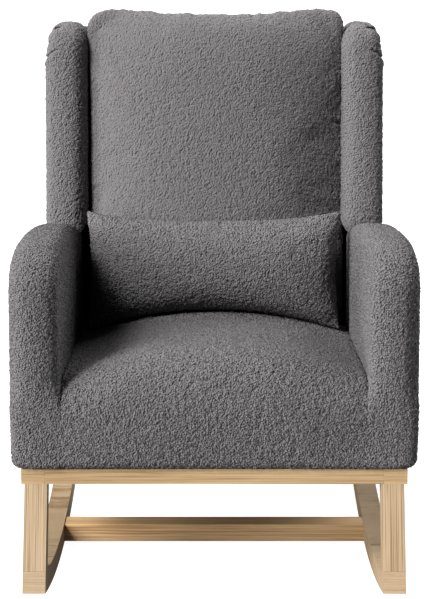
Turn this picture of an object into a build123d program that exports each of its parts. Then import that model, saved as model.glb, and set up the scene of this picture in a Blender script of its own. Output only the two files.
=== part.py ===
from build123d import *
import math
import os

# Wing-back nursery rocking chair, millimetres.
# The chair is laid out level: x across, y from the front of the base to the rear,
# z up from the underside of the base rails. At the end the whole chair is leaned
# back by rest_tilt, the angle at which it balances on its rockers when empty, and
# stood on z = 0.

# ---- driving dimensions ------------------------------------------------------
rest_tilt = 5.6            # degrees leaned back at rest

rail_half = 338.0          # outer half width of the base rails
rail_height = 27.5
side_rail_width = 41.0
front_rail_depth = 41.0
rail_length = 636.0        # front to rear

leg_outer = 332.3          # half widths over and inside the legs
leg_inner = 292.5
leg_depth = 40.0           # front to rear, measured level
front_leg_rake = 0.415     # forward run per unit of drop
rear_leg_rake = 0.22
rear_leg_top_y = 592.0     # front face of the rear leg at the rail

rocker_radius = 1625.0     # underside of the rocker
rocker_low_y = 318.4       # where the underside is lowest, chair level
rocker_low_z = -223.0
rocker_thick = 37.5
rocker_rear_y = 752.0

stretcher_front_y = 325.0
stretcher_depth = 48.0
stretcher_height = 34.2
stretcher_top_gap = 1.7    # below the top of the rocker

body_bottom = rail_height  # underside of the upholstery
body_front = -12.0         # front plane of the upholstery
arm_inner = 270.0
arm_outer = 350.0
arm_top = 413.0            # crest, just behind the nose
arm_top_radius = 2965.0    # the top falls away to the rear on this radius
arm_nose_radius = 76.0
wing_inner = 255.0
wing_outer = 338.5
wing_top = 761.0

back_recline = 8.5         # degrees, with the base level
back_front_y = 505.0       # front of the back cushion at z = 370
back_front_z = 370.0
cushion_thick = 115.0
pad_thick = 22.0
webbing_thick = 1.6
post_depth = 35.0
back_board_thick = 9.0

seat_front_height = 182.0  # top of the seat at its sides, at the front
seat_crown = 50.0          # the middle of the seat stands this much over its sides
seat_slope = 3.2           # degrees down to the rear
seat_rear_y = 512.0
frame_top = 97.5           # top of the hidden seat frame
spring_wire = 3.6

pillow_half = 249.0
pillow_thick = 80.0
pillow_low = 160.0
pillow_high = 402.0

os.makedirs("parts", exist_ok=True)

# ---- helpers -----------------------------------------------------------------
rocker_centre_z = rocker_low_z + rocker_radius
lean = math.tan(math.radians(back_recline))
cosb = math.cos(math.radians(back_recline))
sinb = math.sin(math.radians(back_recline))


def side_plane(x):
    """Sketch plane whose local x is the chair's y and local y is the chair's z."""
    return Plane(origin=(x, 0, 0), x_dir=(0, 1, 0), z_dir=(1, 0, 0))


def face_of(edges):
    return make_face(Wire(edges))


def slab(points, x0, x1):
    """Straight-sided outline in y and z, extruded from x0 to x1."""
    f = side_plane(x0) * make_face(Polyline(*points, close=True))
    return extrude(f, amount=x1 - x0)


def outline(edges, x0, x1):
    """Closed chain of edges drawn in local (y, z), extruded from x0 to x1."""
    f = side_plane(x0) * make_face(Wire(edges))
    return extrude(f, amount=x1 - x0)


def block(x0, x1, y0, y1, z0, z1):
    return Pos((x0 + x1) / 2, (y0 + y1) / 2, (z0 + z1) / 2) * Box(
        x1 - x0, y1 - y0, z1 - z0
    )


def under(y, r=None):
    """Height of the rocker's underside, or of the concentric arc of radius r."""
    r = rocker_radius if r is None else r
    return rocker_centre_z - math.sqrt(r * r - (y - rocker_low_y) ** 2)


top_radius = rocker_radius - rocker_thick


def meet(r, y_at_0, run):
    """Point where the arc of radius r meets the raked line y = y_at_0 + run * z."""
    z = -150.0
    for _ in range(60):
        z = under(y_at_0 + run * z, r)
    return (y_at_0 + run * z, z)


def back_point(u, v):
    """u behind the front of the back cushion, v up along the recline from z = 370."""
    return (
        back_front_y + u * cosb + v * sinb,
        back_front_z - u * sinb + v * cosb,
    )


def back_y(u, z):
    """y of the plane u behind the cushion front, at height z."""
    return back_front_y + u / cosb + (z - back_front_z) * lean


def back_slab(u0, u1, v0, v1, x0, x1):
    return slab(
        [back_point(u0, v0), back_point(u1, v0), back_point(u1, v1), back_point(u0, v1)],
        x0,
        x1,
    )


def both(shape):
    """The shape and its mirror image across the middle of the chair."""
    return shape, mirror(shape, about=Plane.YZ)


def rounded(shape, edges, radius):
    """Fillet, stepping the radius down if the corner can't take it."""
    for r in (radius, radius * 0.8, radius * 0.6, radius * 0.4):
        try:
            made = fillet(edges, r)
            if made.is_valid:
                return made
        except Exception:
            continue
    print("corner left square", radius)
    return shape


parts = {}

# ---- base: rails, legs, rockers, stretcher -----------------------------------
rail_inner = rail_half - side_rail_width
rail_bolt_x = 311.0
rail_bolt_y = [84.0, 318.0, 552.0]
bolt_radius = 4.0
bolt_clear = 0.3

side_rail = block(rail_inner, rail_half, 0, rail_length, 0, rail_height)
front_rail = block(-rail_inner, rail_inner, 0, front_rail_depth, 0, rail_height)
rear_rail = block(
    -rail_inner, rail_inner, rail_length - front_rail_depth, rail_length, 0, rail_height
)
soften = 1.2
side_rail = rounded(
    side_rail,
    [e for e in side_rail.edges().filter_by(Axis.Y) if e.center().X > rail_half - 1],
    soften,
)

eased = 0.6                # small rounds where two pieces of wood meet, so that the joint shows


def ease(shape, axis, y, z=None, x=None):
    """Rounds a piece's edges along axis that lie at y, and at z and x where given."""
    return rounded(
        shape,
        [
            e
            for e in shape.edges().filter_by(axis)
            if abs(e.center().Y - y) < 0.1
            and (z is None or abs(e.center().Z - z) < 0.1)
            and (x is None or abs(abs(e.center().X) - x) < 0.1)
        ],
        eased,
    )


side_rail = ease(side_rail, Axis.Z, 0.0, x=rail_inner)
front_rail = ease(front_rail, Axis.Z, 0.0)

front_top = meet(top_radius, 0.0, front_leg_rake)
front_low = meet(rocker_radius, 0.0, front_leg_rake)
front_back_top = meet(top_radius, leg_depth, front_leg_rake)
rear_front = meet(top_radius, rear_leg_top_y, -rear_leg_rake)
rear_back = meet(top_radius, rear_leg_top_y + leg_depth, -rear_leg_rake)


def arc(p, q, r):
    """Arc of a circle about the rocker's centre from p to q."""
    ym = (p[0] + q[0]) / 2
    return ThreePointArc(p, (ym, under(ym, r)), q)


front_leg = outline(
    [
        Line((0, 0), front_top),
        arc(front_top, front_back_top, top_radius),
        Line(front_back_top, (leg_depth, 0)),
        Line((leg_depth, 0), (0, 0)),
    ],
    leg_inner,
    leg_outer,
)
rear_leg = outline(
    [
        Line((rear_leg_top_y, 0), rear_front),
        arc(rear_front, rear_back, top_radius),
        Line(rear_back, (rear_leg_top_y + leg_depth, 0)),
        Line((rear_leg_top_y + leg_depth, 0), (rear_leg_top_y, 0)),
    ],
    leg_inner,
    leg_outer,
)
rocker_rear_low = (rocker_rear_y, under(rocker_rear_y))
rocker_rear_top = (rocker_rear_y - 8, under(rocker_rear_y - 8, top_radius))
rocker = outline(
    [
        arc(front_low, rocker_rear_low, rocker_radius),
        Line(rocker_rear_low, rocker_rear_top),
        arc(rocker_rear_top, front_top, top_radius),
        Line(front_top, front_low),
    ],
    leg_inner,
    leg_outer,
)

front_leg = ease(front_leg, Axis.X, front_top[0], front_top[1])
rocker = ease(rocker, Axis.X, front_top[0], front_top[1])

stretcher_top = under(stretcher_front_y, top_radius) - stretcher_top_gap
stretcher = block(
    -leg_inner,
    leg_inner,
    stretcher_front_y,
    stretcher_front_y + stretcher_depth,
    stretcher_top - stretcher_height,
    stretcher_top,
)
stretcher = rounded(stretcher, stretcher.edges().filter_by(Axis.X), soften)

# beech dowels in every joint of the base
dowel_radius = 4.0
dowel_clear = 0.05


def dowel(axis, centre, length, radius=dowel_radius):
    turn = Rot(0, 90, 0) if axis == "x" else (Rot(90, 0, 0) if axis == "y" else Rot(0, 0, 0))
    return Pos(*centre) * turn * Cylinder(radius, length)


leg_x = [303.5, 318.5]
rail_leg_x = 322.0
leg_spots = [(rail_leg_x, 9.5, 0.0), (rail_leg_x, 26.0, 0.0)] + [
    (rail_leg_x, rear_leg_top_y + 11.0, 0.0),
    (rail_leg_x, rear_leg_top_y + 29.0, 0.0),
]
fj = ((front_top[0] + front_back_top[0]) / 2, (front_top[1] + front_back_top[1]) / 2)
rj = ((rear_front[0] + rear_back[0]) / 2, (rear_front[1] + rear_back[1]) / 2)
rocker_spots = [(x, fj[0], fj[1]) for x in leg_x] + [(x, rj[0], rj[1]) for x in leg_x]
leg_length = 36.0
rocker_length = 34.0
stretcher_mid_z = stretcher_top - stretcher_height / 2
stretcher_spots = [
    (leg_inner, stretcher_front_y + 12, stretcher_mid_z),
    (leg_inner, stretcher_front_y + stretcher_depth - 12, stretcher_mid_z),
]
rail_spots = [
    (rail_inner, 12.0, rail_height / 2),
    (rail_inner, 29.0, rail_height / 2),
    (rail_inner, rail_length - 12.0, rail_height / 2),
    (rail_inner, rail_length - 29.0, rail_height / 2),
]


def drilled(shape, axis, spots, length):
    for s in spots:
        shape -= dowel(axis, s, length + 1.0, dowel_radius + dowel_clear)
    return shape


side_rail = drilled(side_rail, "z", leg_spots, leg_length)
front_leg = drilled(front_leg, "z", leg_spots[:2] + rocker_spots[:2], leg_length)
rear_leg = drilled(rear_leg, "z", leg_spots[2:] + rocker_spots[2:], leg_length)
rocker = drilled(rocker, "z", rocker_spots, leg_length)
rocker = drilled(rocker, "x", stretcher_spots, 36.0)
side_rail = drilled(side_rail, "x", rail_spots, 36.0)
mirrored = [(-x, y, z) for x, y, z in rail_spots]
front_rail = drilled(front_rail, "x", rail_spots[:2] + mirrored[:2], 36.0)
rear_rail = drilled(rear_rail, "x", rail_spots[2:] + mirrored[2:], 36.0)
stretcher = drilled(
    stretcher, "x", stretcher_spots + [(-x, y, z) for x, y, z in stretcher_spots], 36.0
)


def group(solids):
    return Compound(children=list(solids))


def pairs(axis, spots, length):
    made = []
    for s in spots:
        d = dowel(axis, s, length)
        made += [d, mirror(d, about=Plane.YZ)]
    return made


leg_dowels = group(pairs("z", leg_spots, leg_length))
rocker_dowels = group(pairs("z", rocker_spots, leg_length))
stretcher_dowels = group(pairs("x", stretcher_spots, 35.0))
rail_dowels = group(pairs("x", rail_spots, 35.0))

# bolts that hold the upholstered body to the base, from below, in counterbores
head_radius, head_height = 6.5, 8.0
washer_radius, washer_thick = 7.5, 1.5
counterbore = 10.5
bolt_end = 62.0
for y in rail_bolt_y:
    side_rail -= Pos(rail_bolt_x, y, rail_height / 2) * Cylinder(
        bolt_radius + bolt_clear, rail_height + 2
    )
    side_rail -= Pos(rail_bolt_x, y, counterbore / 2 - 0.5) * Cylinder(
        washer_radius + 0.5, counterbore + 1
    )
bolts, washers, nuts = [], [], []
nut_low, nut_high, nut_radius = 44.0, 58.0, 6.5
for y in rail_bolt_y:
    head_top = counterbore - washer_thick
    head = Pos(rail_bolt_x, y, head_top - head_height / 2) * Cylinder(head_radius, head_height)
    socket = Pos(rail_bolt_x, y, head_top - head_height) * extrude(
        RegularPolygon(3.2, 6), amount=4.0
    )
    shank = Pos(rail_bolt_x, y, (head_top + bolt_end) / 2) * Cylinder(
        bolt_radius, bolt_end - head_top
    )
    bolt = (head - socket) + shank
    washer = Pos(rail_bolt_x, y, counterbore - washer_thick / 2) * (
        Cylinder(washer_radius, washer_thick) - Cylinder(bolt_radius + bolt_clear, washer_thick)
    )
    nut = Pos(rail_bolt_x, y, (nut_low + nut_high) / 2) * (
        Cylinder(nut_radius, nut_high - nut_low)
        - Cylinder(bolt_radius + 0.05, nut_high - nut_low)
    )
    bolts += both(bolt)
    washers += both(washer)
    nuts += both(nut)

for name, shape in (
    ("side_rail", side_rail),
    ("front_leg", front_leg),
    ("rear_leg", rear_leg),
    ("rocker", rocker),
):
    parts[name + "_right"], parts[name + "_left"] = both(shape)
parts["front_rail"] = front_rail
parts["rear_rail"] = rear_rail
parts["stretcher"] = stretcher
parts["leg_dowels"] = leg_dowels
parts["rocker_dowels"] = rocker_dowels
parts["stretcher_dowels"] = stretcher_dowels
parts["rail_dowels"] = rail_dowels
parts["body_bolts"] = group(bolts)
parts["bolt_washers"] = group(washers)
parts["insert_nuts"] = group(nuts)

# ---- planes of the back, from front to rear ----------------------------------
u_pad = cushion_thick
u_web = u_pad + pad_thick
u_post = u_web + 2 * webbing_thick
u_board = u_post + post_depth
u_rear = u_board + back_board_thick


def v_at(z, u):
    """Distance up the recline of the point at height z on plane u."""
    return (z - back_front_z + u * sinb) / cosb


# ---- hidden seat frame -------------------------------------------------------
seat_rail_thick = 25.0
front_panel = 24.0
panel_back = body_front + front_panel
seat_side = slab(
    [
        (panel_back, body_bottom),
        (back_y(u_board, body_bottom), body_bottom),
        (back_y(u_board, frame_top), frame_top),
        (panel_back, frame_top),
    ],
    arm_inner - seat_rail_thick,
    arm_inner,
)
seat_in = arm_inner - seat_rail_thick
seat_front_rail = block(
    -seat_in, seat_in, panel_back, panel_back + seat_rail_thick, body_bottom, frame_top
)
u_seat_rear = u_post - seat_rail_thick
seat_rear_rail = slab(
    [
        (back_y(u_seat_rear, body_bottom), body_bottom),
        (back_y(u_post, body_bottom), body_bottom),
        (back_y(u_post, frame_top), frame_top),
        (back_y(u_seat_rear, frame_top), frame_top),
    ],
    -seat_in,
    seat_in,
)
seat_mid_rail = block(
    -seat_in, seat_in, 300, 325, body_bottom, body_bottom + 30
)
corner_leg = 55.0
corner_low, corner_high = body_bottom + 4, frame_top - 12
front_corner = extrude(
    Plane.XY.offset(corner_low)
    * make_face(
        Polyline(
            (seat_in, panel_back + seat_rail_thick),
            (seat_in, panel_back + seat_rail_thick + corner_leg),
            (seat_in - corner_leg, panel_back + seat_rail_thick),
            close=True,
        )
    ),
    amount=corner_high - corner_low,
)
rear_line = back_y(u_seat_rear, corner_low)
rear_corner = extrude(
    Plane.XY.offset(corner_low)
    * make_face(
        Polyline(
            (seat_in, rear_line - corner_leg),
            (seat_in, rear_line),
            (seat_in - corner_leg, rear_line),
            close=True,
        )
    ),
    amount=corner_high - corner_low,
)
parts["seat_side_rail_right"], parts["seat_side_rail_left"] = both(seat_side)
parts["seat_front_rail"] = seat_front_rail
parts["seat_rear_rail"] = seat_rear_rail
parts["seat_cross_rail"] = seat_mid_rail
parts["seat_corner_blocks"] = group([*both(front_corner), *both(rear_corner)])

# sinuous springs, front rail to rear rail, held by clips on the rail tops
spring_z = frame_top + spring_wire / 2 + 0.4
spring_front = panel_back + 12.0
spring_rear = back_y(u_seat_rear, frame_top) + 12.0
spring_half = 24.0
bends = 15
spring_x = [-184.0, -92.0, 0.0, 92.0, 184.0]


def spring(x):
    run = (spring_rear - spring_front) / bends
    pts = [(x - spring_half, spring_front, spring_z)]
    side = -1
    for i in range(bends):
        pts.append((x + side * spring_half, spring_front + (i + 0.0) * run, spring_z))
        pts.append((x + -side * spring_half, spring_front + (i + 0.0) * run, spring_z))
        side = -side
    pts = [p for i, p in enumerate(pts) if i == 0 or p != pts[i - 1]]
    path = FilletPolyline(*pts, radius=0.45 * run)
    start = path @ 0
    section = Plane(origin=start, z_dir=path % 0) * Circle(spring_wire / 2)
    return sweep(section, path=path)


springs = [spring(x) for x in spring_x]
parts["seat_springs"] = group(springs)

clips = []
for x in spring_x:
    for y, sgn in ((spring_front, 1), (spring_rear - (spring_rear - spring_front) / bends, 1)):
        outer = block(x - 9, x + 9, y - 5, y + 5, frame_top, spring_z + spring_wire / 2 + 1.6)
        outer -= block(
            x - 9, x + 9, y - 3, y + 3, frame_top + 0.0, spring_z + spring_wire / 2 + 0.3
        )
        clips.append(outer)
parts["spring_clips"] = group(clips)

pad_low = spring_z + spring_wire / 2 + 2.2
pad_high = pad_low + 3.0
seat_pad_rear = back_y(u_web, pad_low) - 4
parts["spring_felt"] = block(
    -seat_in + 4, seat_in - 4, panel_back + 0.0, seat_pad_rear, pad_low, pad_high
)

# ---- seat cushion: crowned foam block with the front panel below it -----------
crown_top = seat_front_height + seat_crown
crown_radius = (arm_inner**2 + seat_crown**2) / (2 * seat_crown)
slope_run = math.tan(math.radians(seat_slope))


def crown_prism(lift, half, low):
    """Arched bar running front to rear under the seat's slope, raised by lift."""
    drop = -400 * slope_run
    pl = Plane(origin=(0, 60, 0), x_dir=(1, 0, 0), z_dir=(0, -1, 0))
    side = seat_front_height + lift + seat_crown - (
        crown_radius - math.sqrt(crown_radius**2 - half**2)
    )
    face = pl * make_face(
        Wire(
            [
                Line((-half, low), (half, low)),
                Line((half, low), (half, side)),
                ThreePointArc((half, side), (0, seat_front_height + lift + seat_crown), (-half, side)),
                Line((-half, side), (-half, low)),
            ]
        )
    )
    d = Vector(0, 1, -slope_run)
    return extrude(face, amount=620, dir=d) + extrude(face, amount=120, dir=-d)


seat_profile = outline(
    [
        Line((body_front, body_bottom), (body_front, 128.0)),
        ThreePointArc((body_front, 128.0), (10.0, 196.0), (74.0, 236.0)),
        Line((74.0, 236.0), (seat_rear_y + 60, 236.0)),
        Line((seat_rear_y + 60, 236.0), (back_y(u_web, 200.0) - 4, 200.0)),
        Line((back_y(u_web, 200.0) - 4, 200.0), (back_y(u_web, pad_high) - 4, pad_high)),
        Line((back_y(u_web, pad_high) - 4, pad_high), (panel_back, pad_high)),
        Line((panel_back, pad_high), (panel_back, body_bottom)),
        Line((panel_back, body_bottom), (body_front, body_bottom)),
    ],
    -arm_inner,
    arm_inner,
)
# the sides of the foam rest on the side rails
seat_cushion = seat_profile & crown_prism(0.0, arm_inner, 0.0)
parts["seat_cushion"] = seat_cushion

# ---- arms: plywood frame inside a padded cover --------------------------------
nose = arm_nose_radius
arm_crest_y = body_front + nose
arm_rear_low = back_y(u_board, body_bottom)


def arm_top_at(y):
    """Height of the arm's top line."""
    run = max(y - arm_crest_y, 0.0)
    return arm_top - (arm_top_radius - math.sqrt(arm_top_radius**2 - run**2))


def arm_rear(u, lift):
    """Where the arm's top line, moved up by lift, meets the plane u behind the cushion front."""
    z = 360.0
    for _ in range(40):
        z = arm_top_at(back_y(u, z)) + lift
    return (back_y(u, z), z)


def arm_outline(inset, x0, x1, bottom=None):
    f = body_front + inset
    t = arm_top - inset
    r = nose - inset
    m = r * (1 - math.sqrt(0.5))
    b = body_bottom if bottom is None else bottom
    rear_b = back_y(u_board - inset, b)
    rear_t = arm_rear(u_board - inset, -inset)
    mid = (arm_crest_y + rear_t[0]) / 2
    return outline(
        [
            Line((f, b), (f, t - r)),
            ThreePointArc((f, t - r), (f + m, t - m), (f + r, t)),
            ThreePointArc((f + r, t), (mid, arm_top_at(mid) - inset), rear_t),
            Line(rear_t, (rear_b, b)),
            Line((rear_b, b), (f, b)),
        ],
        x0,
        x1,
    )


arm_skin = arm_outline(0, arm_inner, arm_outer)
arm_edges = [
    e
    for e in arm_skin.edges()
    if e.center().X > arm_outer - 0.5
    and e.center().Z > body_bottom + 2
    and e.center().Y < arm_rear_low - 10
]
arm_skin = rounded(arm_skin, arm_edges, 20.0)
in_edges = [
    e
    for e in arm_skin.edges()
    if abs(e.center().X - arm_inner) < 0.5
    and e.center().Z > body_bottom + 2
    and e.center().Y < arm_rear_low - 10
]
arm_skin = rounded(arm_skin, in_edges, 14.0)
arm_board = 32.0
arm_x0, arm_x1 = 294.0, 294.0 + arm_board
core = arm_outline(24.0, arm_x0, arm_x1, bottom=body_bottom)
window = slab(
    [
        (body_front + 24 + 60, body_bottom + 46),
        (back_y(u_board - 24, body_bottom + 46) - 60, body_bottom + 46),
        (back_y(u_board - 24, 262.0) - 60, 262.0),
        (body_front + 24 + 60, arm_top - 84),
    ],
    arm_x0,
    arm_x1,
)
arm_frame = core - window
for y in rail_bolt_y:
    arm_frame -= Pos(rail_bolt_x, y, 45.0) * Cylinder(bolt_radius + bolt_clear, 60.0)
    arm_frame -= Pos(rail_bolt_x, y, (nut_low + nut_high) / 2) * Cylinder(
        nut_radius + 0.05, nut_high - nut_low
    )
arm_pad = arm_skin - core
parts["arm_pad_right"], parts["arm_pad_left"] = both(arm_pad)
parts["arm_frame_right"], parts["arm_frame_left"] = both(arm_frame)

# ---- wings --------------------------------------------------------------------
wing_front_low = 545.0
wing_front_high = 598.0
wing_nose = 46.0


def wing_outline(inset, x0, x1):
    ylow = wing_front_low + inset
    zl = arm_top_at(ylow) + inset
    run = (wing_front_high - wing_front_low) / (700.0 - arm_top_at(wing_front_low))
    t = wing_top - inset
    yb = back_y(u_board - inset, t)
    ft = ylow + run * (t - wing_nose - zl)
    rear = arm_rear(u_board - inset, inset)
    mid = (ylow + rear[0]) / 2
    return outline(
        [
            Line((ylow, zl), (ft, t - wing_nose)),
            ThreePointArc(
                (ft, t - wing_nose),
                (ft + 0.32 * wing_nose + 3, t - 0.28 * wing_nose),
                (ft + wing_nose + 6, t),
            ),
            Line((ft + wing_nose + 6, t), (yb, t)),
            Line((yb, t), rear),
            ThreePointArc(rear, (mid, arm_top_at(mid) + inset), (ylow, zl)),
        ],
        x0,
        x1,
    )


wing_skin = wing_outline(0, wing_inner, wing_outer)
wing_edges = [
    e
    for e in wing_skin.edges()
    if e.center().X > wing_outer - 0.5
    and e.center().Z > arm_top_at(e.center().Y) + 6
    and e.center().Y < back_y(u_board, e.center().Z) - 6
]
wing_skin = rounded(wing_skin, wing_edges, 22.0)
wing_in = [
    e
    for e in wing_skin.edges()
    if abs(e.center().X - wing_inner) < 0.5
    and e.center().Z > arm_top_at(e.center().Y) + 6
    and e.center().Y < back_y(u_board, e.center().Z) - 6
]
wing_skin = rounded(wing_skin, wing_in, 14.0)
wing_core = wing_outline(24.0, 288.0, 306.0)
wing_pad = wing_skin - wing_core
parts["wing_pad_right"], parts["wing_pad_left"] = both(wing_pad)
parts["wing_panel_right"], parts["wing_panel_left"] = both(wing_core)

# ---- back frame, webbing, pad, cushion, rear board ----------------------------
post_x0, post_x1 = 204.0, 244.0
post_top = wing_top - 30.0
post = slab(
    [
        (back_y(u_post, body_bottom), body_bottom),
        (back_y(u_board, body_bottom), body_bottom),
        (back_y(u_board, post_top), post_top),
        (back_y(u_post, post_top), post_top),
    ],
    post_x0,
    post_x1,
)
parts["back_post_right"], parts["back_post_left"] = both(post)


def back_rail(z0, z1):
    return slab(
        [
            (back_y(u_post, z0), z0),
            (back_y(u_board, z0), z0),
            (back_y(u_board, z1), z1),
            (back_y(u_post, z1), z1),
        ],
        -post_x0,
        post_x0,
    )


parts["back_top_rail"] = back_rail(post_top - 55, post_top)
parts["back_lower_rail"] = back_rail(168.0, 213.0)

straps = []
for z in (280.0, 380.0, 480.0, 580.0):
    v = v_at(z, u_web)
    straps.append(
        back_slab(u_web + webbing_thick, u_post, v - 27, v + 27, -post_x1, post_x1)
    )
for x in (-120.0, 0.0, 120.0):
    straps.append(
        back_slab(
            u_web, u_web + webbing_thick, v_at(176.0, u_web), v_at(post_top - 6, u_web), x - 27, x + 27
        )
    )
parts["back_webbing"] = group(straps)

pad_bottom = 150.0
rest_gap = 0.4
inside_back = slab(
    [
        (back_y(u_pad, pad_bottom), pad_bottom),
        (back_y(u_web, pad_bottom), pad_bottom),
        (back_y(u_web, post_top), post_top),
        (back_y(u_board, post_top), post_top),
        (back_y(u_board, wing_top - 3), wing_top - 3),
        (back_y(u_pad, wing_top - 3), wing_top - 3),
    ],
    -wing_inner,
    wing_inner,
)
# the seat foam runs under the pad
inside_back -= crown_prism(rest_gap, arm_inner + 30, -200.0)
parts["inside_back_pad"] = inside_back

cushion_low_z = 150.0
cushion_high_z = 793.0
cushion = back_slab(
    0,
    cushion_thick,
    v_at(cushion_low_z, 0),
    v_at(cushion_high_z, cushion_thick / 2),
    -wing_inner,
    wing_inner,
)
cushion = rounded(
    cushion, [e for e in cushion.edges().filter_by(Axis.X) if e.center().Z > 600], 46.0
)
cushion = rounded(
    cushion,
    [
        e
        for e in cushion.edges()
        if abs(abs(e.center().X) - wing_inner) < 0.5 and e.center().Z > 240
        and e.center().Y < back_y(u_pad - 1, e.center().Z)
    ],
    36.0,
)
cushion -= crown_prism(rest_gap, arm_inner + 30, -200.0)
parts["back_cushion"] = cushion

board_top = wing_top - 6.0
board = slab(
    [
        (back_y(u_board, body_bottom), body_bottom),
        (back_y(u_rear, body_bottom), body_bottom),
        (back_y(u_rear, board_top), board_top),
        (back_y(u_board, board_top), board_top),
    ],
    -wing_outer + 2,
    wing_outer - 2,
)
corner = [
    e
    for e in board.edges()
    if abs(abs(e.center().X) - (wing_outer - 2)) < 0.5 and e.center().Z > board_top - 3
]
board = rounded(board, corner, 26.0)
parts["outside_back"] = board

# ---- dust cover under the body, inside the base rails -------------------------
parts["dust_cover"] = block(
    -rail_inner + 1,
    rail_inner - 1,
    front_rail_depth + 1,
    rail_length - front_rail_depth - 1,
    body_bottom - 1.2,
    body_bottom,
)

# ---- loose lumbar pillow, resting on the seat against the back cushion ---------
pillow_gap = 1.0
pillow_rear_low = (back_y(-pillow_gap, pillow_low), pillow_low)
pillow_rear_high = (back_y(-pillow_gap, pillow_high), pillow_high)
edge = 16.0
pillow_front_low = (back_y(-pillow_gap - edge, pillow_low), pillow_low)
pillow_front_high = (back_y(-pillow_gap - edge, pillow_high), pillow_high)
middle = (pillow_low + pillow_high) / 2
pillow = outline(
    [
        Line(pillow_rear_low, pillow_rear_high),
        Line(pillow_rear_high, pillow_front_high),
        ThreePointArc(
            pillow_front_high,
            (back_y(-pillow_gap - pillow_thick, middle), middle),
            pillow_front_low,
        ),
        Line(pillow_front_low, pillow_rear_low),
    ],
    -pillow_half,
    pillow_half,
)
pillow -= crown_prism(pillow_gap, arm_inner + 30, -200.0)
parts["lumbar_pillow"] = pillow

# ---- lean back to the balance angle and stand on z = 0 -------------------------
turn = Rot(-rest_tilt, 0, 0)
placed = {n: turn * s for n, s in parts.items()}
a = math.radians(rest_tilt)
# lowest point of the rockers is straight below the centre of their arc
centre_z = -rocker_low_y * math.sin(a) + rocker_centre_z * math.cos(a)
lowest = centre_z - rocker_radius
front_most = min(placed[n].bounding_box().min.Y for n in ("front_leg_right", "rocker_right"))
rear_most = placed["outside_back"].bounding_box().max.Y
shift = Pos(0, -(front_most + rear_most) / 2, -lowest)
placed = {n: shift * s for n, s in placed.items()}

for name, shape in placed.items():
    export_step(shape, f"parts/{name}.step")

print("stretcher front top", stretcher_top, "clear of the floor", stretcher_top - stretcher_height - rocker_low_z)
print("front joint", front_top, front_low, "rear joint", rear_front, rear_back)
print("rocker centre, level", rocker_low_y, rocker_centre_z)
print("depth", rear_most - front_most, "shift", -(front_most + rear_most) / 2, -lowest)
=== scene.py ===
import math

import bmesh
import bpy
import numpy as np
from mathutils import Matrix, Vector


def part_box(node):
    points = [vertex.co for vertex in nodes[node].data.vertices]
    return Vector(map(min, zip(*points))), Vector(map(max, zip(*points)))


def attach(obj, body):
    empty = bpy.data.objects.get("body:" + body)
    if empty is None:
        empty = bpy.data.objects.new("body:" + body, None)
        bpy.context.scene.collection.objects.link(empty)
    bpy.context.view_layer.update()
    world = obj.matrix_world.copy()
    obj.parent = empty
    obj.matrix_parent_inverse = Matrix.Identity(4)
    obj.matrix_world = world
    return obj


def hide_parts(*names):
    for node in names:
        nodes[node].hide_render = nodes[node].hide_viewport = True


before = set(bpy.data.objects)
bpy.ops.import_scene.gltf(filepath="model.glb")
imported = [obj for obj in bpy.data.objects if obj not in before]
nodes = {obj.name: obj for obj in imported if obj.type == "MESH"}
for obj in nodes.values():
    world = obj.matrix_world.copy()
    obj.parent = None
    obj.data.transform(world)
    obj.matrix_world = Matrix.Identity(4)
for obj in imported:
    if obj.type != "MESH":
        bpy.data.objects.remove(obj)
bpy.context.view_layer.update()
scene = bpy.context.scene

# ------------------------------------------------------------------ the chair's own level frame
# Lengths in here are millimetres, x across, y to the rear, z up, from the underside of the base rails,
# as in the part's source. The chair leans back by TILT and stands on z = 0 in the row frame.
TILT = math.radians(5.6)
SHIFT_Y, SHIFT_Z = -364.70684, 260.76158
CT, ST = math.cos(TILT), math.sin(TILT)


def to_row(p):
    """Points in the chair's level frame, in mm, to the row frame, in metres."""
    p = np.asarray(p, float)
    out = np.empty_like(p)
    out[..., 0] = p[..., 0]
    out[..., 1] = p[..., 1] * CT + p[..., 2] * ST + SHIFT_Y
    out[..., 2] = -p[..., 1] * ST + p[..., 2] * CT + SHIFT_Z
    return out / 1000.0


LEAN = math.tan(math.radians(8.5))
CB, SB = math.cos(math.radians(8.5)), math.sin(math.radians(8.5))
BACK_Y, BACK_Z = 505.0, 370.0
U_PAD, U_WEB, U_BOARD, U_REAR = 115.0, 137.0, 175.2, 184.2


def back_y(u, z):
    return BACK_Y + u / CB + (z - BACK_Z) * LEAN


# ------------------------------------------------------------------ noise
def hashed(ix, iy, iz, seed):
    h = (ix * 73856093) ^ (iy * 19349663) ^ (iz * 83492791) ^ (seed * 2654435761 % 4294967296)
    h = (h ^ (h >> 13)) * 1274126177 & 0xFFFFFFFF
    h = (h ^ (h >> 16)) * 2246822519 & 0xFFFFFFFF
    h = h ^ (h >> 13)
    return (h & 0xFFFFFF) / float(0xFFFFFF)


def value_noise(p, size, seed=0):
    """Smooth noise from -1 to 1 over points p, with cells of the given size."""
    q = np.asarray(p, float) / size
    base = np.floor(q).astype(np.int64)
    t = q - base
    t = t * t * t * (t * (t * 6 - 15) + 10)
    out = np.zeros(len(q))
    for i in (0, 1):
        for j in (0, 1):
            for k in (0, 1):
                w = (
                    (t[:, 0] if i else 1 - t[:, 0])
                    * (t[:, 1] if j else 1 - t[:, 1])
                    * (t[:, 2] if k else 1 - t[:, 2])
                )
                out += w * hashed(base[:, 0] + i, base[:, 1] + j, base[:, 2] + k, seed)
    return out * 2 - 1


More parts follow.
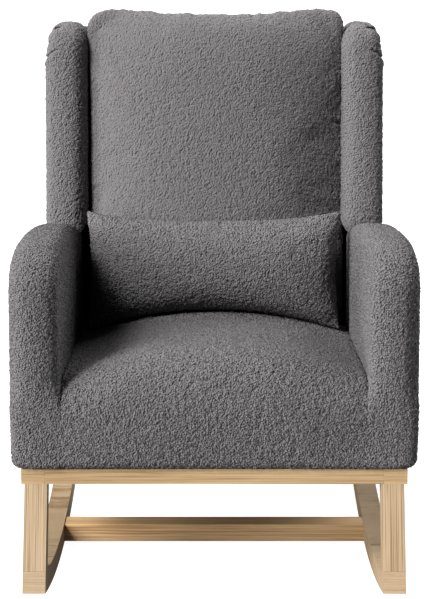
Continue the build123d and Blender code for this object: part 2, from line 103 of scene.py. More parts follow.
def nub_noise(p, size, seed=0):
    """Rounded nubs, 1 at a nub's middle and 0 in the gaps, over points p."""
    q = np.asarray(p, float) / size
    base = np.floor(q).astype(np.int64)
    best = np.full(len(q), 9.0)
    for i in (-1, 0, 1):
        for j in (-1, 0, 1):
            for k in (-1, 0, 1):
                cx, cy, cz = base[:, 0] + i, base[:, 1] + j, base[:, 2] + k
                d = (
                    (cx + hashed(cx, cy, cz, seed) - q[:, 0]) ** 2
                    + (cy + hashed(cx, cy, cz, seed + 7) - q[:, 1]) ** 2
                    + (cz + hashed(cx, cy, cz, seed + 13) - q[:, 2]) ** 2
                )
                np.minimum(best, d, out=best)
    return np.clip(1 - best / 0.75, 0, 1)


# ------------------------------------------------------------------ closed surfaces from solid functions
def surface_nets(fn, lo, hi, h):
    """Closed quad mesh of fn(x, y, z) = 0, negative inside, over the box lo..hi at cells of h."""
    lo = np.asarray(lo, float)
    n = np.ceil((np.asarray(hi, float) - lo) / h).astype(int) + 1
    ax = [lo[i] + h * np.arange(n[i]) for i in range(3)]
    f = np.broadcast_to(
        fn(ax[0][:, None, None], ax[1][None, :, None], ax[2][None, None, :]), tuple(n)
    ).astype(np.float32)
    f = np.where(f == 0, np.float32(1e-6), f)
    for i in range(3):  # closed at the box's walls
        sl = [slice(None)] * 3
        for end in (0, -1):
            sl[i] = end
            f[tuple(sl)] = np.maximum(f[tuple(sl)], 1e-3)
    ins = f < 0
    nx, ny, nz = f.shape
    count = np.zeros((nx - 1, ny - 1, nz - 1), np.int8)
    corners = [(i, j, k) for i in (0, 1) for j in (0, 1) for k in (0, 1)]
    for i, j, k in corners:
        count += ins[i : nx - 1 + i, j : ny - 1 + j, k : nz - 1 + k]
    act = (count > 0) & (count < 8)
    cell = np.argwhere(act)
    index = np.full(act.shape, -1, np.int64)
    index[act] = np.arange(len(cell))
    vals = {
        c: f[cell[:, 0] + c[0], cell[:, 1] + c[1], cell[:, 2] + c[2]] for c in corners
    }
    acc, cnt = np.zeros((len(cell), 3)), np.zeros(len(cell))
    for axis in range(3):
        others = [i for i in range(3) if i != axis]
        for a in (0, 1):
            for b in (0, 1):
                c0 = [0, 0, 0]
                c0[others[0]], c0[others[1]] = a, b
                c1 = list(c0)
                c1[axis] = 1
                v0, v1 = vals[tuple(c0)], vals[tuple(c1)]
                m = (v0 < 0) != (v1 < 0)
                t = v0[m] / (v0[m] - v1[m])
                p = np.tile(np.array(c0, float), (int(m.sum()), 1))
                p[:, axis] = t
                acc[m] += p
                cnt[m] += 1
    verts = lo + h * (cell + acc / cnt[:, None])
    quads = []
    for axis in range(3):
        o1, o2 = [(1, 2), (2, 0), (0, 1)][axis]
        sl0, sl1 = [slice(None)] * 3, [slice(None)] * 3
        sl0[axis], sl1[axis] = slice(0, -1), slice(1, None)
        a, b = ins[tuple(sl0)], ins[tuple(sl1)]
        at = np.argwhere(a != b)
        keep = (
            (at[:, o1] > 0)
            & (at[:, o2] > 0)
            & (at[:, o1] < f.shape[o1] - 1)
            & (at[:, o2] < f.shape[o2] - 1)
        )
        at = at[keep]
        inside_first = a[at[:, 0], at[:, 1], at[:, 2]]
        e1, e2 = np.zeros(3, int), np.zeros(3, int)
        e1[o1], e2[o2] = 1, 1
        ring = [at - e1 - e2, at - e2, at, at - e1]
        q = np.stack([index[r[:, 0], r[:, 1], r[:, 2]] for r in ring], 1)
        q[~inside_first] = q[~inside_first][:, ::-1]
        quads.append(q)
    return verts, np.concatenate(quads)


def gradient(fn, v, eps=0.4):
    g = np.empty_like(v)
    for i in range(3):
        d = np.zeros(3)
        d[i] = eps
        a, b = v + d, v - d
        g[:, i] = (
            np.ravel(fn(a[:, 0], a[:, 1], a[:, 2])) - np.ravel(fn(b[:, 0], b[:, 1], b[:, 2]))
        ) / (2 * eps)
    return g


def smoothed(verts, quads, rounds, share=0.5):
    """Moves every point towards the mean of its neighbours."""
    e = np.concatenate([quads[:, [0, 1]], quads[:, [1, 2]], quads[:, [2, 3]], quads[:, [3, 0]]])
    n = len(verts)
    deg = np.bincount(e[:, 0], minlength=n) + np.bincount(e[:, 1], minlength=n)
    deg = np.maximum(deg, 1)[:, None]
    for _ in range(rounds):
        s = np.zeros_like(verts)
        for i in range(3):
            s[:, i] = np.bincount(e[:, 0], verts[e[:, 1], i], n) + np.bincount(
                e[:, 1], verts[e[:, 0], i], n
            )
        verts = verts + share * (s / deg - verts)
    return verts


def solid_mesh(fn, lo, hi, h, relax=2, eps=0.4):
    """A relaxed surface mesh of fn, with its points back on the surface."""
    v, q = surface_nets(fn, lo, hi, h)
    for _ in range(relax):
        v = smoothed(v, q, 1)
        for _ in range(2):
            val = np.ravel(fn(v[:, 0], v[:, 1], v[:, 2]))
            g = gradient(fn, v, eps)
            step = val / np.maximum((g * g).sum(1), 0.25)
            v = v - np.clip(step, -h, h)[:, None] * g
    return v, q


def normals_of(v, q):
    n = np.zeros_like(v)
    a = v[q[:, 2]] - v[q[:, 0]]
    b = v[q[:, 3]] - v[q[:, 1]]
    fnorm = np.cross(a, b)
    for k in range(4):
        for i in range(3):
            n[:, i] += np.bincount(q[:, k], fnorm[:, i], len(v))
    return n / np.maximum(np.linalg.norm(n, axis=1), 1e-12)[:, None]


def polygon_depth(points):
    """Signed distance to a closed polygon in a plane, negative inside, as a function of two arrays."""
    pts = np.asarray(points, float)
    nxt = np.roll(pts, -1, 0)

    def fn(a, b):
        a, b = np.broadcast_arrays(a, b)
        d = np.full(a.shape, 1e9)
        inside = np.zeros(a.shape, bool)
        for (x0, y0), (x1, y1) in zip(pts, nxt):
            ex, ey = x1 - x0, y1 - y0
            ll = ex * ex + ey * ey
            if ll < 1e-12:
                continue
            px, py = a - x0, b - y0
            t = np.clip((px * ex + py * ey) / ll, 0, 1)
            dx, dy = px - ex * t, py - ey * t
            np.minimum(d, dx * dx + dy * dy, out=d)
            cross = ((y0 <= b) != (y1 <= b)) & (
                a < (x1 - x0) * (b - y0) / (y1 - y0 if y1 != y0 else 1e-12) + x0
            )
            inside ^= cross
        d = np.sqrt(d)
        return np.where(inside, -d, d)

    return fn


def rounded_corner(p, a, b, r, steps=10):
    """Points of a fillet of radius r at corner p between neighbours a and b."""
    p, a, b = (np.asarray(v, float) for v in (p, a, b))
    u, w = (a - p) / np.linalg.norm(a - p), (b - p) / np.linalg.norm(b - p)
    ang = math.acos(max(-1, min(1, float(u @ w))))
    if r <= 0 or ang > math.pi - 1e-3:
        return [tuple(p)]
    t = r / math.tan(ang / 2)
    c = p + (u + w) / np.linalg.norm(u + w) * (r / math.sin(ang / 2))
    s, e = p + u * t, p + w * t
    v0, v1 = s - c, e - c
    a0, a1 = math.atan2(v0[1], v0[0]), math.atan2(v1[1], v1[0])
    d = (a1 - a0 + math.pi) % (2 * math.pi) - math.pi
    return [
        (c[0] + r * math.cos(a0 + d * k / steps), c[1] + r * math.sin(a0 + d * k / steps))
        for k in range(steps + 1)
    ]


def rounded_polygon(corners):
    """corners: (a, b, radius) in order; returns the outline's points."""
    out = []
    n = len(corners)
    for i, (a, b, r) in enumerate(corners):
        prev, nxt = corners[i - 1], corners[(i + 1) % n]
        out += rounded_corner((a, b), prev[:2], nxt[:2], r)
    return out


def round_max(d1, d2, r):
    """Intersection of two depths with a round edge of radius r."""
    a, b = d1 + r, d2 + r
    return (
        np.minimum(np.maximum(a, b), 0)
        + np.sqrt(np.maximum(a, 0) ** 2 + np.maximum(b, 0) ** 2)
        - r
    )


def smooth_max(a, b, k):
    h = np.clip(0.5 + 0.5 * (a - b) / k, 0, 1)
    return b + (a - b) * h + k * h * (1 - h)


def smooth_min(a, b, k):
    return -smooth_max(-a, -b, k)


def sstep(e0, e1, x):
    t = np.clip((x - e0) / (e1 - e0), 0, 1)
    return t * t * (3 - 2 * t)


# ------------------------------------------------------------------ objects
def new_piece(name, verts_row, faces, smooth=True):
    me = bpy.data.meshes.new(name)
    verts_row = np.asarray(verts_row, np.float32)
    faces = np.asarray(faces, np.int32)
    me.vertices.add(len(verts_row))
    me.vertices.foreach_set("co", verts_row.ravel())
    k = faces.shape[1]
    me.loops.add(faces.size)
    me.loops.foreach_set("vertex_index", faces.ravel())
    me.polygons.add(len(faces))
    me.polygons.foreach_set("loop_start", np.arange(0, faces.size, k, dtype=np.int32))
    me.polygons.foreach_set("loop_total", np.full(len(faces), k, np.int32))
    me.update(calc_edges=True)
    me.validate()
    if smooth:
        me.polygons.foreach_set("use_smooth", np.ones(len(me.polygons), bool))
    ob = bpy.data.objects.new(name, me)
    scene.collection.objects.link(ob)
    return ob


def nubs(v, q, size=7.0, height=1.0, seed=1, normal=None, fade=None):
    """Raises the curls of the pile on a surface whose points are in mm."""
    n = normals_of(v, q) if normal is None else normal
    wob = np.stack([value_noise(v + 31 * i, size * 1.7, seed + 40 + i) for i in range(3)], 1)
    a = nub_noise(v + wob * size * 0.35, size, seed)
    b = value_noise(v, size * 0.62, seed + 3)
    d = height * (a - 0.45) + 0.35 * height * b + 0.5 * value_noise(v, 60, seed + 5)
    if fade is not None:
        d = d * fade
    return v + n * d[:, None]


def inflate(v, q, pinned, pressure=4.0, frames=18, slack=0.03, cap=24.0, stiffness=6.0, bending=0.4):
    """Blows up a closed cloth whose pinned points stay put. v is in mm; the faces stay as they are."""
    ob = new_piece("inflating", v / 1000.0, q)
    group = ob.vertex_groups.new(name="seam")
    group.add([int(i) for i in np.flatnonzero(pinned)], 1.0, "REPLACE")
    mod = ob.modifiers.new("cloth", "CLOTH")
    cloth = mod.settings
    cloth.quality = 5
    cloth.mass = 0.3
    cloth.tension_stiffness = cloth.compression_stiffness = stiffness
    cloth.shear_stiffness = stiffness * 0.5
    cloth.bending_stiffness = bending
    cloth.tension_damping = cloth.compression_damping = cloth.shear_damping = 8.0
    cloth.bending_damping = 1.0
    cloth.air_damping = 2.0
    cloth.use_pressure = True
    cloth.uniform_pressure_force = pressure
    cloth.shrink_min = -slack
    cloth.effector_weights.gravity = 0.0
    cloth.vertex_group_mass = "seam"
    mod.collision_settings.use_collision = False
    mod.collision_settings.use_self_collision = False
    mod.point_cache.frame_start, mod.point_cache.frame_end = 1, frames
    for f in range(1, frames + 1):
        scene.frame_set(f)
    me = ob.evaluated_get(bpy.context.evaluated_depsgraph_get()).to_mesh()
    out = np.empty(len(v) * 3, np.float32)
    me.vertices.foreach_get("co", out)
    out = out.reshape(-1, 3).astype(float) * 1000.0
    data = ob.data
    bpy.data.objects.remove(ob)
    bpy.data.meshes.remove(data)
    scene.frame_set(1)
    move = out - v
    far = np.linalg.norm(move, axis=1)
    return v + move * np.minimum(1.0, cap / np.maximum(far, 1e-6))[:, None]


def subdivided(v, q):
    """One Catmull-Clark round over a closed mesh of quads."""
    n = len(v)
    e = np.concatenate([q[:, [0, 1]], q[:, [1, 2]], q[:, [2, 3]], q[:, [3, 0]]])
    es = np.sort(e, 1)
    uniq, inv = np.unique(es, axis=0, return_inverse=True)
    inv = inv.ravel()
    fc = v[q].mean(1)
    nf, ne = len(q), len(uniq)
    face_of = np.tile(np.arange(nf), 4)
    esum, ecnt = np.zeros((ne, 3)), np.bincount(inv, minlength=ne)
    for i in range(3):
        esum[:, i] = np.bincount(inv, fc[face_of, i], ne)
    mid = (v[uniq[:, 0]] + v[uniq[:, 1]]) / 2
    ep = (mid + esum / ecnt[:, None]) / 2
    fsum, fcnt = np.zeros((n, 3)), np.bincount(q.ravel(), minlength=n)
    for k in range(4):
        for i in range(3):
            fsum[:, i] += np.bincount(q[:, k], fc[:, i], n)
    msum, mcnt = np.zeros((n, 3)), np.bincount(uniq.ravel(), minlength=n)
    for k in range(2):
        for i in range(3):
            msum[:, i] += np.bincount(uniq[:, k], mid[:, i], n)
    m = np.maximum(mcnt, 3)[:, None]
    vp = (fsum / np.maximum(fcnt, 1)[:, None] + 2 * msum / np.maximum(mcnt, 1)[:, None] + (m - 3) * v) / m
    pts = np.concatenate([vp, ep, fc])
    eid = (n + inv).reshape(4, nf)
    fid = n + ne + np.arange(nf)
    quads = np.concatenate(
        [
            np.stack([q[:, 0], eid[0], fid, eid[3]], 1),
            np.stack([q[:, 1], eid[1], fid, eid[0]], 1),
            np.stack([q[:, 2], eid[2], fid, eid[1]], 1),
            np.stack([q[:, 3], eid[3], fid, eid[2]], 1),
        ]
    )
    return pts, quads


def fabric_piece(name, v, q, material, body="chair", replaces=(), mirror=False):
    """One padded piece, from points in the chair's level frame."""
    if mirror:
        v = v * np.array([-1.0, 1.0, 1.0])
        q = q[:, ::-1]
    ob = new_piece(name, to_row(v), q)
    ob.data.materials.append(material)
    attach(ob, body)
    if replaces:
        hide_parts(*replaces)
    return ob


# ------------------------------------------------------------------ materials
def material(name):
    m = bpy.data.materials.new(name)
    m.use_nodes = True
    nt = m.node_tree
    nt.nodes.clear()
    out = nt.nodes.new("ShaderNodeOutputMaterial")
    bsdf = nt.nodes.new("ShaderNodeBsdfPrincipled")
    nt.links.new(bsdf.outputs[0], out.inputs[0])
    return m, nt, bsdf


def srgb(r, g, b):
    f = lambda c: (c / 255 / 12.92) if c / 255 <= 0.04045 else ((c / 255 + 0.055) / 1.055) ** 2.4
    return (f(r), f(g), f(b), 1.0)


def add(nt, kind, **values):
    n = nt.nodes.new(kind)
    for k, v in values.items():
        if hasattr(n, k):
            setattr(n, k, v)
        else:
            n.inputs[k.replace("_", " ")].default_value = v
    return n


def math_node(nt, op, a, b=None, clamp=False):
    n = nt.nodes.new("ShaderNodeMath")
    n.operation = op
    n.use_clamp = clamp
    for i, v in enumerate((a, b)):
        if v is None:
            continue
        if isinstance(v, (int, float)):
            n.inputs[i].default_value = v
        else:
            nt.links.new(v, n.inputs[i])
    return n.outputs[0]


def ramp(nt, fac, stops, interp="LINEAR"):
    n = nt.nodes.new("ShaderNodeValToRGB")
    n.color_ramp.interpolation = interp
    el = n.color_ramp.elements
    while len(el) > 1:
        el.remove(el[-1])
    el[0].position, el[0].color = stops[0]
    for p, c in stops[1:]:
        e = el.new(p)
        e.color = c
    nt.links.new(fac, n.inputs[0])
    return n.outputs[0]


# depth sets how strongly the painted shade deepens towards the gaps between the curls, and shadow scales the colour of
# that painted shade
def boucle_material(name="boucle", lean=2.0, tone=(93, 90, 91), depth=0.4, shadow=0.66):
    m, nt, bsdf = material(name)
    tex = nt.nodes.new("ShaderNodeTexCoord")
    co = tex.outputs["Object"]
    # the curls wander: coordinates are bent by a coarse noise first
    bend = add(nt, "ShaderNodeTexNoise", Scale=190.0, Detail=1.0)
    nt.links.new(co, bend.inputs["Vector"])
    off = nt.nodes.new("ShaderNodeVectorMath")
    off.operation = "MULTIPLY_ADD"
    off.inputs[1].default_value = (0.0024,) * 3
    nt.links.new(bend.outputs["Color"], off.inputs[0])
    nt.links.new(co, off.inputs[2])
    bent = off.outputs[0]
    # each curl is a small round cap: the normal leans away from its middle
    size = 0.0034
    curl = add(nt, "ShaderNodeTexVoronoi", Scale=1.0 / size, Randomness=1.0)
    curl.feature = "F1"
    nt.links.new(bent, curl.inputs["Vector"])
    geo = nt.nodes.new("ShaderNodeNewGeometry")
    normal = geo.outputs["Normal"]

    def vec(op, a, b=None, scale=None):
        n = nt.nodes.new("ShaderNodeVectorMath")
        n.operation = op
        nt.links.new(a, n.inputs[0])
        if b is not None:
            nt.links.new(b, n.inputs[1])
        if scale is not None:
            if isinstance(scale, (int, float)):
                n.inputs["Scale"].default_value = scale
            else:
                nt.links.new(scale, n.inputs["Scale"])
        return n.outputs["Value"] if op == "DOT_PRODUCT" else n.outputs[0]

    off_middle = vec("SCALE", vec("SUBTRACT", bent, curl.outputs["Position"]), scale=lean / size)
    along_normal = vec("SCALE", normal, scale=vec("DOT_PRODUCT", off_middle, normal))
    tilted = vec("NORMALIZE", vec("ADD", normal, vec("SUBTRACT", off_middle, along_normal)))
    fibre = add(nt, "ShaderNodeTexNoise", Scale=900.0, Detail=2.0)
    nt.links.new(co, fibre.inputs["Vector"])
    bump = add(nt, "ShaderNodeBump", Strength=0.6, Distance=0.0006)
    nt.links.new(fibre.outputs[0], bump.inputs["Height"])
    nt.links.new(tilted, bump.inputs["Normal"])
    nt.links.new(bump.outputs[0], bsdf.inputs["Normal"])
    # colour: painted shade between the curls, darker towards their gaps and lighter on their tops, with a slow drift of
    # tone over the cloth
    drift = add(nt, "ShaderNodeTexNoise", Scale=9.0, Detail=3.0)
    nt.links.new(co, drift.inputs["Vector"])
    painted_gap_shade = math_node(nt, "MULTIPLY", curl.outputs["Distance"], -depth)
    shade = math_node(nt, "ADD", painted_gap_shade, math_node(nt, "MULTIPLY", drift.outputs[0], 0.3))
    # dark is the colour of the painted shade in the gaps, light the painted lighter tone on the curls' tops
    dark = tuple(c * shadow for c in srgb(*tone)[:3]) + (1,)
    light = tuple(min(1, c * 1.14) for c in srgb(*tone)[:3]) + (1,)
    col = ramp(nt, math_node(nt, "ADD", shade, 0.75), [(0.0, dark), (0.6, srgb(*tone)), (1.0, light)])
    nt.links.new(col, bsdf.inputs["Base Color"])
    bsdf.inputs["Roughness"].default_value = 0.95
    bsdf.inputs["Specular IOR Level"].default_value = 0.15
    bsdf.inputs["Sheen Weight"].default_value = 0.25
    bsdf.inputs["Sheen Roughness"].default_value = 0.6
    bsdf.inputs["Sheen Tint"].default_value = (0.9, 0.88, 0.9, 1)
    return m


def oak_material(name, along, pith, seed=0.0, tones=((212, 186, 150), (190, 160, 120), (160, 126, 88)), figure=1.0, level=False):
    """Light oak. along is the grain's direction and pith a point on the tree's axis, in the row frame.

    A level board is sawn so that its grain also lies in level lines on its end.
    """
    across = 12.0 if level else 480.0
    m, nt, bsdf = material(name)
    tex = nt.nodes.new("ShaderNodeTexCoord")
    u = Vector(along).normalized()
    side = u.cross(Vector((0, 0, 1))) if abs(u.z) < 0.8 else u.cross(Vector((1, 0, 0)))
    side.normalize()
    up = side.cross(u)
    rot = Matrix((u, side, up)).to_euler("XYZ")
    mv = nt.nodes.new("ShaderNodeMapping")
    mv.vector_type = "POINT"
    # a point is moved to the pith first, then turned so that X runs along the grain
    sub = nt.nodes.new("ShaderNodeVectorMath")
    sub.operation = "SUBTRACT"
    sub.inputs[1].default_value = Vector(pith)
    nt.links.new(tex.outputs["Object"], sub.inputs[0])
    nt.links.new(sub.outputs[0], mv.inputs["Vector"])
    mv.inputs["Rotation"].default_value = rot
    sep = nt.nodes.new("ShaderNodeSeparateXYZ")
    nt.links.new(mv.outputs[0], sep.inputs[0])
    # slow waves of the rings along the grain
    stretch = nt.nodes.new("ShaderNodeMapping")
    stretch.inputs["Scale"].default_value = (1.6, 9.0, 9.0)
    stretch.inputs["Location"].default_value = (seed * 3.1, seed * 1.7, seed * 5.3)
    nt.links.new(mv.outputs[0], stretch.inputs["Vector"])
    wave = add(nt, "ShaderNodeTexNoise", Scale=1.0, Detail=2.0)
    nt.links.new(stretch.outputs[0], wave.inputs["Vector"])
    y2 = math_node(nt, "MULTIPLY", sep.outputs[1], sep.outputs[1])
    z2 = math_node(nt, "MULTIPLY", sep.outputs[2], sep.outputs[2])
    r = math_node(nt, "SQRT", math_node(nt, "ADD", y2, z2))
    r = math_node(nt, "ADD", r, math_node(nt, "MULTIPLY", wave.outputs[0], 0.0012 if level else 0.012))
    # growth rings of uneven width: a noise taken along the radius and drawn out along the grain
    ring_at = nt.nodes.new("ShaderNodeCombineXYZ")
    nt.links.new(math_node(nt, "MULTIPLY", sep.outputs[0], 2.4), ring_at.inputs[0])
    nt.links.new(math_node(nt, "MULTIPLY", r, 520.0), ring_at.inputs[1])
    ring_at.inputs[2].default_value = seed * 2.3
    ring = add(nt, "ShaderNodeTexNoise", Scale=1.0, Detail=1.5, Roughness=0.5)
    nt.links.new(ring_at.outputs[0], ring.inputs["Vector"])
    late = math_node(nt, "SUBTRACT", ring.outputs[0], 0.5)
    # pores: fine dark dashes along the grain
    pore_map = nt.nodes.new("ShaderNodeMapping")
    pore_map.inputs["Scale"].default_value = (14.0, 1.3 * across, 620.0)
    nt.links.new(mv.outputs[0], pore_map.inputs["Vector"])
    pore = add(nt, "ShaderNodeTexNoise", Scale=1.0, Detail=1.0)
    nt.links.new(pore_map.outputs[0], pore.inputs["Vector"])
    pores = math_node(nt, "MULTIPLY", math_node(nt, "SUBTRACT", pore.outputs[0], 0.60, True), 3.2, True)
    streak_map = nt.nodes.new("ShaderNodeMapping")
    streak_map.inputs["Scale"].default_value = (4.0, 1.3 * across, 620.0)
    nt.links.new(mv.outputs[0], streak_map.inputs["Vector"])
    streak = add(nt, "ShaderNodeTexNoise", Scale=1.0, Detail=3.0)
    nt.links.new(streak_map.outputs[0], streak.inputs["Vector"])
    # a slow change of tone over the board
    board = add(nt, "ShaderNodeTexNoise", Scale=14.0, Detail=1.0)
    nt.links.new(stretch.outputs[0], board.inputs["Vector"])
    # the dense late wood of each ring is a thin dark line
    line = math_node(nt, "MULTIPLY", math_node(nt, "SUBTRACT", ring.outputs[0], 0.56, True), 7.0, True)
    tone = math_node(nt, "ADD", math_node(nt, "MULTIPLY", late, 0.6 * figure), 0.4)
    tone = math_node(nt, "ADD", tone, math_node(nt, "MULTIPLY", line, 0.62 * figure))
    tone = math_node(nt, "ADD", tone, math_node(nt, "MULTIPLY", math_node(nt, "SUBTRACT", streak.outputs[0], 0.5), 1.2 if level else 2.1))
    tone = math_node(nt, "ADD", tone, math_node(nt, "MULTIPLY", math_node(nt, "SUBTRACT", board.outputs[0], 0.5), 0.2))
    tone = math_node(nt, "ADD", tone, math_node(nt, "MULTIPLY", pores, 0.9))
    light, mid, dark = (srgb(*t) for t in tones)
    col = ramp(nt, tone, [(0.0, light), (0.5, mid), (1.0, dark)])
    nt.links.new(col, bsdf.inputs["Base Color"])
    bump = add(nt, "ShaderNodeBump", Strength=0.4, Distance=0.0003)
    hgt = math_node(nt, "MULTIPLY", math_node(nt, "ADD", pores, late), -1.0)
    nt.links.new(hgt, bump.inputs["Height"])
    nt.links.new(bump.outputs[0], bsdf.inputs["Normal"])
    rough = math_node(nt, "ADD", math_node(nt, "MULTIPLY", pores, 0.25), 0.5)
    nt.links.new(rough, bsdf.inputs["Roughness"])
    bsdf.inputs["Specular IOR Level"].default_value = 0.35
    return m


def plain_material(name, color, rough=0.6, metallic=0.0, grain=900.0, depth=0.0002, shift=0.12):
    """A quiet material with fine mottling in its colour and surface."""
    m, nt, bsdf = material(name)
    tex = nt.nodes.new("ShaderNodeTexCoord")
    n = add(nt, "ShaderNodeTexNoise", Scale=grain, Detail=3.0)
    nt.links.new(tex.outputs["Object"], n.inputs["Vector"])
    c = color if len(color) == 4 else srgb(*color)
    lo = tuple(v * (1 - shift) for v in c[:3]) + (1,)
    hi = tuple(min(1, v * (1 + shift)) for v in c[:3]) + (1,)
    nt.links.new(ramp(nt, n.outputs[0], [(0.3, lo), (0.7, hi)]), bsdf.inputs["Base Color"])
    b = add(nt, "ShaderNodeBump", Strength=0.6, Distance=depth)
    nt.links.new(n.outputs[0], b.inputs["Height"])
    nt.links.new(b.outputs[0], bsdf.inputs["Normal"])
    bsdf.inputs["Roughness"].default_value = rough
    bsdf.inputs["Metallic"].default_value = metallic
    return m


def woven_material(name, color, pitch=0.0016, rough=0.9):
    """A plain weave in the XY plane of the row frame and in XZ, by two sets of ribs."""
    m, nt, bsdf = material(name)
    tex = nt.nodes.new("ShaderNodeTexCoord")
    sep = nt.nodes.new("ShaderNodeSeparateXYZ")
    nt.links.new(tex.outputs["Object"], sep.inputs[0])
    k = 2 * math.pi / pitch
    sx = math_node(nt, "SINE", math_node(nt, "MULTIPLY", sep.outputs[0], k))
    yz = math_node(nt, "ADD", sep.outputs[1], sep.outputs[2])
    sy = math_node(nt, "SINE", math_node(nt, "MULTIPLY", yz, k * 0.9))
    w = math_node(nt, "MULTIPLY", sx, sy)
    n = add(nt, "ShaderNodeTexNoise", Scale=260.0, Detail=2.0)
    nt.links.new(tex.outputs["Object"], n.inputs["Vector"])
    fac = math_node(nt, "ADD", math_node(nt, "MULTIPLY", w, 0.25), n.outputs[0])
    c = srgb(*color)
    lo = tuple(v * 0.6 for v in c[:3]) + (1,)
    hi = tuple(min(1, v * 1.35) for v in c[:3]) + (1,)
    nt.links.new(ramp(nt, fac, [(0.15, lo), (0.5, c), (0.9, hi)]), bsdf.inputs["Base Color"])
    b = add(nt, "ShaderNodeBump", Strength=0.7, Distance=0.0003)
    nt.links.new(w, b.inputs["Height"])
    nt.links.new(b.outputs[0], bsdf.inputs["Normal"])
    bsdf.inputs["Roughness"].default_value = rough
    return m


# one cloth: the curls stand up most where it lies slack, and least where it is stretched; its copies also differ in
# tone as painted light and shade, the pillow's painted lighter and the wings' and back cushion's darker, and in the
# painted shade between the curls
BOUCLE = boucle_material("boucle", 5.0, (105, 102, 103), 1.2, 0.48)
BOUCLE_WING = boucle_material("boucle_wing", 2.9, (97, 94, 95), 0.6, 0.6)
BOUCLE_BACK = boucle_material("boucle_back", 2.3, (93, 90, 91), 0.5, 0.62)
BOUCLE_PILLOW = boucle_material("boucle_pillow", 5.0, (115, 112, 113), 1.0, 0.52)

# ------------------------------------------------------------------ arms
ARM_R, ARM_CREST = 2515.0, 64.0


def arm_top_z(y):
    """Height of the arm's top line."""
    run = np.maximum(np.asarray(y, float) - ARM_CREST, 0.0)
    return 413.0 - (ARM_R - np.sqrt(ARM_R**2 - run**2))


arm_line = [(float(y), float(arm_top_z(y)) + 2.0) for y in np.linspace(64.0, 900.0, 24)]
arm_profile = polygon_depth(
    rounded_corner((-12.5, 415.0), (-12.5, -60.0), (200.0, 415.0), 76.0, 16)
    + arm_line
    + [(900.0, -60.0), (-12.5, -60.0)]
)


def rear_depth(y, z):
    """Distance behind the back frame's rear plane, where the outside back closes it."""
    return (y - back_y(U_BOARD, z)) * CB


def arm_solid(x, y, z):
    d = arm_profile(y, z)
    xc, hx = 311.0, 41.0
    low = sstep(190.0, 120.0, z)
    s = np.clip((x - xc) / hx, -1.2, 1.2)
    side = np.abs(x - xc) - hx - np.where(x < xc, 5.0 * low * sstep(60.0, 30.0, y), 0.0)
    # the outer side swells a little at mid height
    swell = 4.3 * np.clip(1 - ((z - 215.0) / 230.0) ** 2, 0, 1)
    side = side - np.where(x > xc, swell, 0.0)
    back = sstep(20.0, 150.0, y)
    crown = (12.0 - 8.5 * back) * s * s * np.where(s > 0, 1 - 0.35 * low, 1 - low) + 0.16 * low * np.maximum(-40.0 - (x - xc), 0)
    inner_r = (15.0 + 7.0 * back) * (1 - low) + 0.8 * low
    outer_r = 33.0 - 17.0 * low - 9.0 * back * (1 - low)
    f = round_max(d + crown, side, np.where(s > 0, outer_r, inner_r))
    f = round_max(f, rear_depth(y, z), 4.0)
    return round_max(f, 28.6 - z + 0.8 * sstep(300.0, 352.0, x), 14.0)


# ------------------------------------------------------------------ wings
WING_RUN = 53.0 / (700.0 - 369.9)
wing_profile = polygon_depth(
    rounded_polygon(
        [
            (545.0 - WING_RUN * 30.0, 340.0, 0.0),
            (545.0 + WING_RUN * (761.0 - 369.9), 761.0, 54.0),
            (900.0, 761.0, 0.0),
            (900.0, 340.0, 0.0),
        ]
    )
)


def wing_solid(x, y, z):
    d = wing_profile(y, z)
    taper = 8.0 * sstep(680.0, 745.0, z)
    lo, hi = 256.0, 339.0 - taper
    xc, hx = (lo + hi) / 2, (hi - lo) / 2
    s = (x - xc) / hx
    side = np.abs(x - xc) - hx
    crown = 14.0 * s * s + 1.2 - 8.0 * np.clip(s, 0, 1.2) ** 2 * sstep(700.0, 750.0, z)
    f = round_max(d + crown, side, np.where(s > 0, 17.0, 26.0))
    # two tucks in the cloth at the outer upper corner, arched and deepest at the edge
    front = y - (545.0 + WING_RUN * (z - 369.9))
    for z0, z1, run in ((739.0, 753.0, 28.0), (695.0, 711.0, 24.0)):
        t = np.clip((335.0 - x) / run, -0.3, 1.3)
        line = z - (z0 + (z1 - z0) * np.where(t > 0, 1 - (1 - np.clip(t, 0, 1)) ** 2, 1.6 * t))
        along = sstep(335.0 - 1.25 * run, 335.0 - 0.7 * run, x) * sstep(80.0, 45.0, front)
        f = f + along * 7.5 * np.exp(-((line / 2.1) ** 2)) - along * 1.6 * np.exp(-(((line + 7.5) / 6.0) ** 2))
    return round_max(f, rear_depth(y, z), 4.0)


# ------------------------------------------------------------------ seat
SEAT_R = (270.0**2 + 50.0**2) / 100.0
SEAT_SLOPE = math.tan(math.radians(3.2))


def seat_top(x, y):
    return 232.0 - (SEAT_R - np.sqrt(SEAT_R**2 - np.clip(np.abs(x), 0, 320.0) ** 2)) - (y - 60.0) * SEAT_SLOPE


def seat_solid(x, y, z):
    top = seat_top(x, y)
    edge = 1 - np.abs(x / 270.0) ** 3
    high = sstep(105.0, 175.0, z)
    front = -12.0 - 11.0 * edge * np.clip(1 - ((z - 140.0) / 108.0) ** 2, 0, 1)
    front = front + (1 - high) * 0.16 * np.maximum(np.abs(x) - 269.0, 0.0)
    a = np.clip((100.0 - y) / (100.0 - front), 0, 3)
    b = np.clip((z - 112.0) / np.maximum(top - 112.0, 20.0), -1, 3)
    roll = ((a**2.3 + np.clip(b, 0, 3) ** 2.3) ** (1 / 2.3) - 1) * 92.0
    flat_front = front - y
    f = np.where(z > 112.0, roll, flat_front)
    f = smooth_max(f, z - top, 6.0)
    f = round_max(f, np.abs(x) - 270.4 - 5.0 * (1 - high) * sstep(60.0, 30.0, y), 0.8 + 8.0 * high)
    # underside, open over the springs behind the front panel
    f = np.maximum(f, np.minimum(110.0 - z, y - 12.0))
    f = round_max(f, 28.6 - z, 16.0)
    f = np.maximum(f, y - (back_y(U_WEB, 200.0) - 6.0 + (z - 200.0) * LEAN))
    return f


# ------------------------------------------------------------------ back cushion
# the simulation fills it out from a flatter start
CROWN = 73.0


